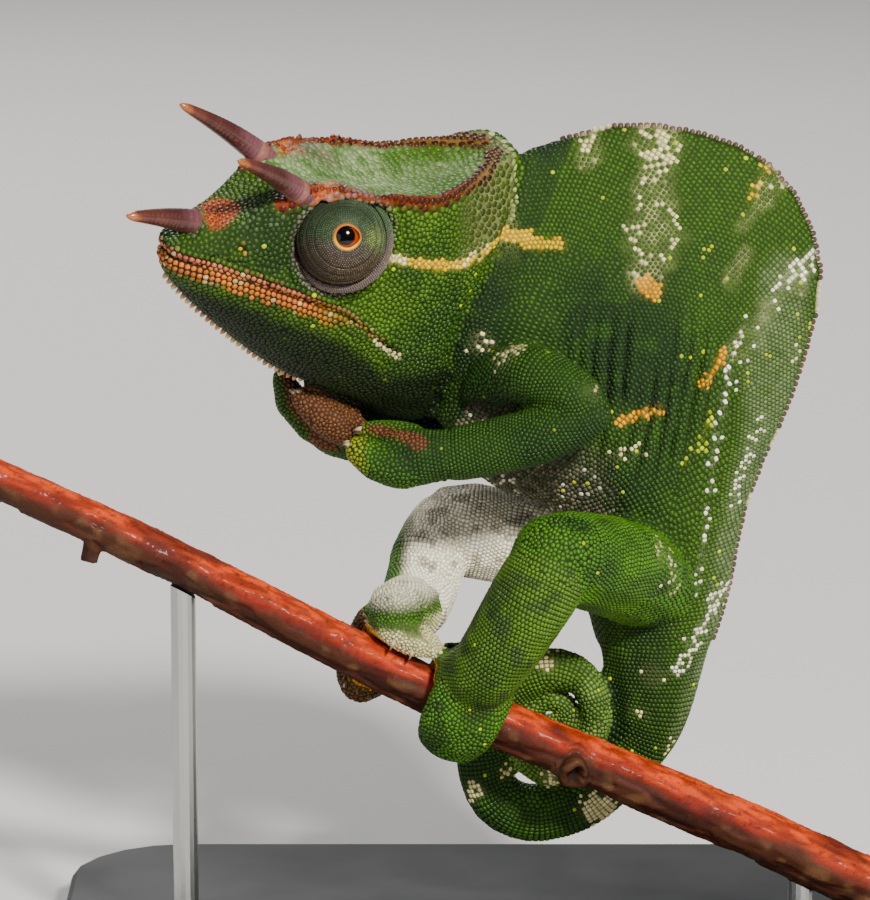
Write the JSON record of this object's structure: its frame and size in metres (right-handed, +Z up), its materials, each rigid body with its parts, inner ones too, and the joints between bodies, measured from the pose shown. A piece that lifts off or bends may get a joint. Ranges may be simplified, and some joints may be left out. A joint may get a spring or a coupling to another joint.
{
  "type": "chameleon display model",
  "caption": "Life-size three-horned chameleon with a high crested back and coiled tail, gripping a slanting branch that a flat stand carries.",
  "frame": {"origin": "centre of the bounding box at the underside of the stand base", "axes": "+Z up; the animal faces -X, its left side faces -Y; the perch slants down towards +X"},
  "size_m": [0.1177, 0.068, 0.1088],
  "materials": {
    "skin_green": "granular scaly skin, satin",
    "turret": "fine ringed eyelid skin, satin",
    "horn": "ringed horn, glossy",
    "bark": "smooth red bark, rough below",
    "stand_paint": "satin black paint",
    "stand_steel": "brushed"
  },
  "bodies": {
    "root": {"eye_left": "turret", "eye_right": "turret", "foot_left": "skin_green", "foot_left_inner_toes": "skin_green", "foot_left_outer_toes": "skin_green", "foot_right": "skin_green", "foot_right_inner_toes": "skin_green", "foot_right_outer_toes": "skin_green", "forearm_left": "skin_green", "forearm_right": "skin_green", "hand_left": "skin_green", "hand_left_inner_toes": "skin_green", "hand_left_outer_toes": "skin_green", "hand_right": "skin_green", "hand_right_inner_toes": "skin_green", "hand_right_outer_toes": "skin_green", "head": "skin_green", "horn_left": "horn", "horn_right": "horn", "horn_rostral": "horn", "lower_jaw": "skin_green", "neck": "skin_green", "pelvis": "skin_green", "perch_branch": "bark", "shin_left": "skin_green", "shin_right": "skin_green", "stand_base": "stand_paint", "stand_rod_left": "stand_steel", "stand_rod_right": "stand_steel", "tail_1": "skin_green", "tail_2": "skin_green", "tail_3": "skin_green", "tail_4": "skin_green", "tail_5": "skin_green", "thigh_left": "skin_green", "thigh_right": "skin_green", "trunk": "skin_green", "upper_arm_left": "skin_green", "upper_arm_right": "skin_green"}
  },
  "joints": []
}
